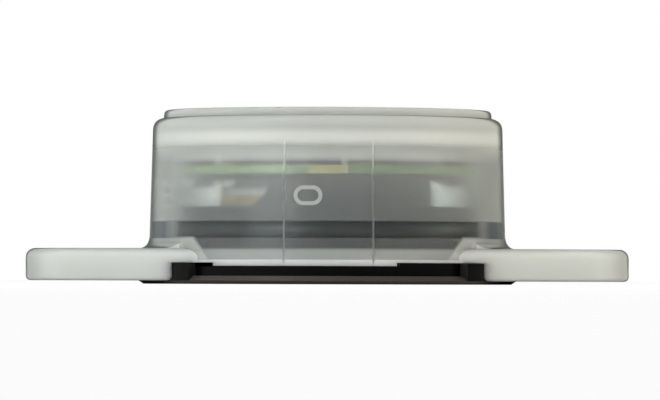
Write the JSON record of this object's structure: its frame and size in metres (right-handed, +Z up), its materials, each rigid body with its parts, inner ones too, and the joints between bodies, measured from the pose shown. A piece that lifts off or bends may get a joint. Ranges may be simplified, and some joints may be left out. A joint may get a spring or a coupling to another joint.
{
  "type": "temperature data logger",
  "caption": "Round temperature data logger with a frosted translucent case, screw ears, a black bayonet battery cover and a soft top button.",
  "frame": {"origin": "centre of the battery cover's underside", "axes": "+X from the case's middle to one ear, -Y to the front, +Z up through the button"},
  "size_m": [0.0564, 0.0354, 0.0162],
  "materials": {
    "case_plastic": "frosted translucent polypropylene",
    "soft_button": "soft translucent elastomer",
    "label_film": "satin film",
    "black_plastic": "fine moulded texture",
    "seal_rubber": "smooth rubber",
    "foam": "closed-cell foam",
    "board_laminate": "green solder mask over glass laminate",
    "holder_plastic": "moulded",
    "gold_plate": "gold plated",
    "cell_steel": "nickel-plated steel",
    "cell_gasket": "moulded",
    "chip_resin": "moulded epoxy",
    "ceramic": "fired ceramic",
    "tinned_metal": "tin plated",
    "switch_plastic": "moulded",
    "plunger_plastic": "moulded",
    "lamp_red": "clear lamp",
    "lamp_green": "clear lamp",
    "clear_plastic": "clear moulded",
    "capacitor_ceramic": "fired ceramic",
    "ferrite": "fired ferrite",
    "screw_steel": "zinc plated"
  },
  "bodies": {
    "case": {"housing": "case_plastic", "top_label": "label_film", "circuit_board": "board_laminate", "battery_holder": "holder_plastic", "contact_positive": "gold_plate", "contact_negative": "gold_plate", "coin_cell_can": "cell_steel", "coin_cell_gasket": "cell_gasket", "coin_cell_cap": "cell_steel", "radio_chip": "chip_resin", "chip_antenna": "ceramic", "memory_chip": "chip_resin", "crystals": "tinned_metal", "tact_switch_body": "switch_plastic", "tact_switch_cover": "tinned_metal", "led_red": "lamp_red", "led_green": "lamp_green", "light_guide": "clear_plastic", "temperature_sensor": "chip_resin", "capacitors": "capacitor_ceramic", "resistors": "chip_resin", "inductor": "ferrite", "chip_terminals": "tinned_metal", "board_screws": "screw_steel", "test_pads": "gold_plate", "holder_rivets": "tinned_metal"},
    "seal": {"o_ring": "seal_rubber"},
    "cover": {"battery_cover": "black_plastic", "battery_cushion": "foam"},
    "button": {"button_cap": "soft_button"},
    "plunger": {"switch_plunger": "plunger_plastic"}
  },
  "joints": [
    {"name": "cover_pull", "type": "slide", "parent": "case", "child": "seal", "axis": [0, 0, 1], "range_m": [-0.014, 0]},
    {"name": "cover_turn", "type": "hinge", "parent": "seal", "child": "cover", "pos_m": [0, 0, 0], "axis": [0, 0, 1], "range_deg": [0, 30]},
    {"name": "button_press", "type": "slide", "parent": "case", "child": "button", "axis": [0, 0, 1], "range_m": [-0.00025, 0], "stiffness_N_per_m": 6000},
    {"name": "plunger_press", "type": "slide", "parent": "case", "child": "plunger", "axis": [0, 0, 1], "range_m": [-0.00025, 0]}
  ],
  "couplings": [
    {"joint": "plunger_press", "follows": "button_press", "ratio": 1}
  ]
}
